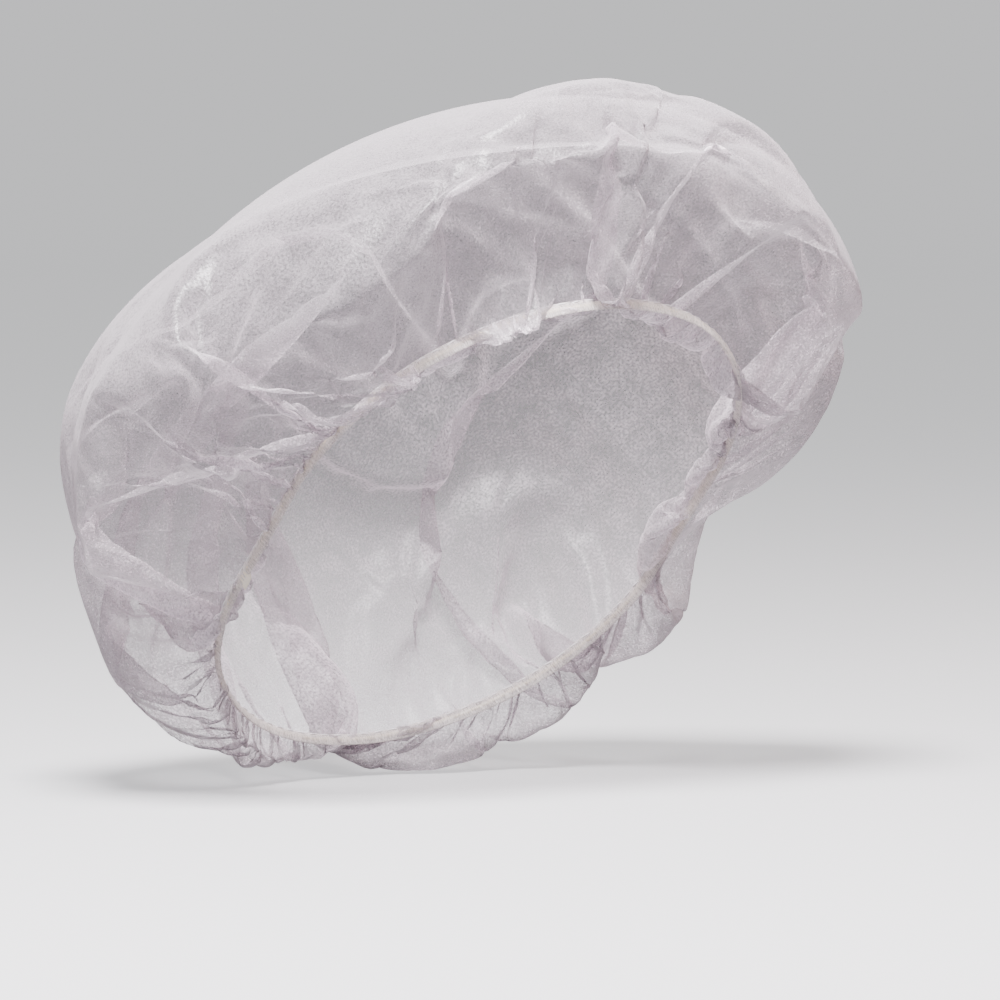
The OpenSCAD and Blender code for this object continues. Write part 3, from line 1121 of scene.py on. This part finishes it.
def floor_material():
    """Pale and matt, lifted by a glow that lights nothing. Through the fabric the glow is less."""
    n = Nodes("floor")
    matt = n.add("ShaderNodeBsdfDiffuse", {"Color": (0.42, 0.42, 0.43, 1)})
    ray = n.add("ShaderNodeLightPath").outputs
    through = n.math("GREATER_THAN", ray["Transparent Depth"], 0.5)
    strength = n.ramp(through, 0.0, 1.0, BACKDROP_GLOW, GLOW_THROUGH_FABRIC)
    glow = n.add("ShaderNodeEmission", {"Color": (0.98, 0.98, 1.0, 1), "Strength": strength})
    seen = n.add("ShaderNodeAddShader", {0: matt.outputs[0], 1: glow.outputs[0]})
    dark = n.add("ShaderNodeBsdfDiffuse", {"Color": (0.20, 0.20, 0.21, 1)})
    direct = ray["Is Camera Ray"]
    mixed = n.add("ShaderNodeMixShader", {0: direct, 1: dark.outputs[0], 2: seen.outputs[0]})
    return n.finish(mixed.outputs[0])


def build_stage():
    # The floor is just below the lowest fold, which hangs below the CAD
    low = min(cad_box[0][2], visual_box[0][2]) - FLOOR_GAP
    world = bpy.data.worlds.new("studio")
    bpy.context.scene.world = world
    world.use_nodes = True
    background = world.node_tree.nodes["Background"]
    background.inputs["Color"].default_value = (0.95, 0.96, 1.0, 1)
    background.inputs["Strength"].default_value = WORLD_LIGHT
    # A floor that turns up into a backdrop, swept round so that every view has it behind. It is wide
    # enough for a camera with a long lens to stand inside it from any side
    rows, columns = 24, 72
    points, faces = [], []
    flat_r, bend_r, top = 9.0, 3.0, 9.0
    profile = [(0.0, 0.0), (flat_r, 0.0)]
    for k in range(1, rows):
        turn = math.pi / 2 * k / (rows - 1)
        profile.append((flat_r + bend_r * math.sin(turn), bend_r * (1 - math.cos(turn))))
    profile.append((flat_r + bend_r, top))
    for r, z in profile[1:]:
        for i in range(columns):
            turn = 2 * math.pi * i / columns
            points.append((r * math.cos(turn), r * math.sin(turn), low + z))
    centre = len(points)
    points.append((0, 0, low))
    for j in range(len(profile) - 2):
        near, far = j * columns, (j + 1) * columns
        for i in range(columns):
            k = (i + 1) % columns
            faces.append((near + i, near + k, far + k, far + i))
    for i in range(columns):
        faces.append((centre, (i + 1) % columns, i))
    floor = mesh_object("floor", points, faces)
    floor.data.materials.append(floor_material())


def build_camera():
    across = Vector((math.cos(CAMERA_TURN), math.sin(CAMERA_TURN), 0))
    target = across * AIM_ACROSS + Vector((0, 0, AIM_UP))
    distance = VIEW_WIDTH / (SENSOR / LENS)
    direction = Vector((
        math.sin(CAMERA_TURN) * math.cos(CAMERA_RISE),
        -math.cos(CAMERA_TURN) * math.cos(CAMERA_RISE),
        math.sin(CAMERA_RISE),
    ))
    data = bpy.data.cameras.new("camera")
    data.lens = LENS
    data.sensor_width = SENSOR
    camera = bpy.data.objects.new("camera", data)
    camera.location = target + direction * distance
    look_at(camera, target)
    bpy.context.scene.collection.objects.link(camera)
    bpy.context.scene.camera = camera


def area_light(name, where, size, power, colour):
    data = bpy.data.lights.new(name, "AREA")
    data.size = size
    data.energy = power
    data.color = colour
    light = bpy.data.objects.new(name, data)
    light.location = where
    light.visible_camera = False
    look_at(light, LIGHTS_AIM)
    bpy.context.scene.collection.objects.link(light)


visual_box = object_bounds()
build_stage()
build_camera()
area_light("key", where=(-0.50, -0.60, 1.15), size=0.40, power=120, colour=(1.0, 0.975, 0.99))
area_light("cool_side", where=(-1.3, -0.7, 0.75), size=0.6, power=3.0, colour=(0.86, 0.92, 1.0))
area_light("warm_side", where=(1.2, -0.5, 0.75), size=0.7, power=10.0, colour=(1.0, 0.66, 0.60))
bpy.context.scene.cycles.transparent_max_bounces = MOST_CROSSED
